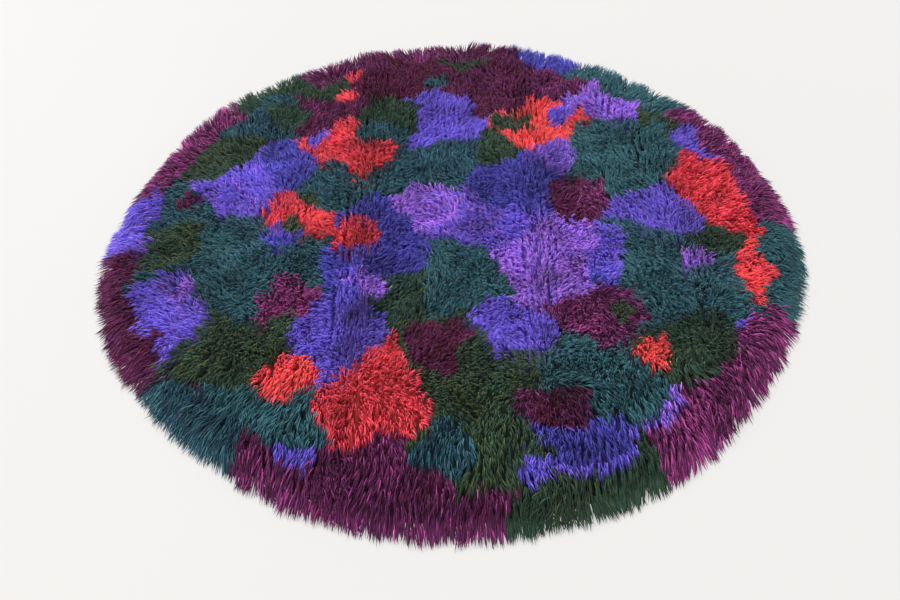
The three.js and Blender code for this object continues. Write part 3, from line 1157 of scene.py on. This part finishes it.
class RYA_OT_ground(Operator):
    """Weave the round ground that the knots are tied into"""

    bl_idname = "rya.ground"
    bl_label = "Woven ground"

    def execute(self, context):
        pile = context.scene.rya_pile
        rings = [(RUG_RADIUS * k / GROUND_RINGS, 0, 0) for k in range(GROUND_RINGS + 1)]
        disc = spun(rings, GROUND_STEPS)
        places = np.array([v.co for v in disc.verts])
        x, y = places[:, 0], places[:, 1]
        share = (tip_radius(np.arctan2(y, x)) - pile.ground_inset) / RUG_RADIUS
        offset, stands = fold_offsets(x, y)
        rise = GROUND_FOLD["rise"] * stands * np.exp(-((offset / GROUND_FOLD["half_width"]) ** 2))
        for vert, scale, lift in zip(disc.verts, share, rise):
            vert.co = (vert.co.x * scale, vert.co.y * scale, FLOOR_GAP + lift)
        bmesh.ops.recalc_face_normals(disc, faces=disc.faces[:])
        if sum(face.normal.z for face in disc.faces) > 0:
            bmesh.ops.reverse_faces(disc, faces=disc.faces[:])
        bmesh.ops.solidify(disc, geom=disc.faces[:], thickness=pile.ground_thickness)
        bmesh.ops.recalc_face_normals(disc, faces=disc.faces[:])
        area = sum(face.calc_area() for face in disc.faces) / 2
        mesh = bpy.data.meshes.new("woven_ground")
        disc.to_mesh(mesh)
        disc.free()
        self.tint(mesh, Patches(context.scene.rya_patches))
        mesh.materials.append(ground_material(pile))
        ground = dress(bpy.data.objects.new("woven_ground", mesh))

        return {"FINISHED"}

    @staticmethod
    def tint(mesh, patches):
        """Gives each point of the ground the colour of the knots that are packed on it there."""
        places = np.array([v.co for v in mesh.vertices])
        family, _ = patches.at(places[:, 0], places[:, 1])
        tints = []
        for row in FAMILIES.values():
            total = sum(row["yarns"].values())
            parts = row["yarns"].items()
            tints.append(sum(part / total * np.array(linear(YARNS[name])) for name, part in parts))
        layer = mesh.color_attributes.new("knots", "FLOAT_COLOR", "POINT")
        layer.data.foreach_set("color", (GROUND_TONE * np.array(tints)[family]).astype(np.float32).ravel())


class RYA_OT_stage(Operator):
    """Set up the pale floor, the soft light and the camera"""

    bl_idname = "rya.stage"
    bl_label = "Stage"

    def execute(self, context):
        stage = context.scene.rya_stage
        self.lay_floor(stage)
        self.hang_lights(context)
        self.place_camera(context, stage)
        context.scene.view_settings.view_transform = "Standard"
        return {"FINISHED"}

    def lay_floor(self, stage):
        half_side = 14.0
        sheet = bmesh.new()
        bmesh.ops.create_grid(sheet, x_segments=1, y_segments=1, size=half_side)
        mesh = bpy.data.meshes.new("floor")
        sheet.to_mesh(mesh)
        sheet.free()
        mesh.materials.append(floor_material(stage.floor_colour))
        floor = bpy.data.objects.new("floor", mesh)
        bpy.context.scene.collection.objects.link(floor)

    def hang_lights(self, context):
        world = bpy.data.worlds.new("soft_room")
        world.use_nodes = True
        background = world.node_tree.nodes["Background"]
        background.inputs["Color"].default_value = (1.0, 0.99, 0.98, 1.0)
        background.inputs["Strength"].default_value = 0.93
        context.scene.world = world
        light = bpy.data.lights.new("window", "SUN")
        light.energy = 2.7
        light.angle = math.radians(38)
        lamp = bpy.data.objects.new("window", light)
        lamp.rotation_euler = Vector(WINDOW_WAY).to_track_quat("-Z", "Y").to_euler()
        context.scene.collection.objects.link(lamp)

    def place_camera(self, context, stage):
        data = bpy.data.cameras.new("camera")
        data.lens = stage.focal_length
        data.sensor_width = 36.0
        camera = bpy.data.objects.new("camera", data)
        place = Matrix.Translation((-stage.eye_left, -stage.eye_back, stage.eye_height))
        tilt = Matrix.Rotation(math.pi / 2 - stage.look_down, 4, "X")
        camera.matrix_world = place @ tilt @ Matrix.Rotation(stage.roll, 4, "Z")
        context.scene.collection.objects.link(camera)
        context.scene.camera = camera


class RYA_PT_rug(Panel):
    """Lists the rug's sizes, dyes and pieces"""

    bl_idname = "RYA_PT_rug"
    bl_label = "Round rya rug"
    bl_space_type = "VIEW_3D"
    bl_region_type = "UI"
    bl_category = "Rya rug"

    def draw(self, context):
        layout = self.layout
        for settings in (getattr(context.scene, name) for name in SETTINGS):
            box = layout.box()
            for name in settings.__annotations__:
                box.prop(settings, name)
        for operator in OPERATORS:
            layout.operator(operator.bl_idname)


SETTINGS = {
    "rya_pile": RyaPileSettings,
    "rya_patches": RyaPatchSettings,
    "rya_yarns": RyaYarnSettings,
    "rya_stage": RyaStageSettings,
}
OPERATORS = (RYA_OT_stage, RYA_OT_pile, RYA_OT_ground)


def register():
    for cls in (*SETTINGS.values(), *OPERATORS, RYA_PT_rug):
        bpy.utils.register_class(cls)
    for name, cls in SETTINGS.items():
        setattr(bpy.types.Scene, name, PointerProperty(type=cls))


def unregister():
    for name in SETTINGS:
        delattr(bpy.types.Scene, name)
    for cls in (RYA_PT_rug, *reversed(OPERATORS), *reversed(SETTINGS.values())):
        bpy.utils.unregister_class(cls)


def main():
    register()
    bpy.ops.rya.stage()
    bpy.ops.rya.pile()
    bpy.ops.rya.ground()


if __name__ == "__main__":
    main()
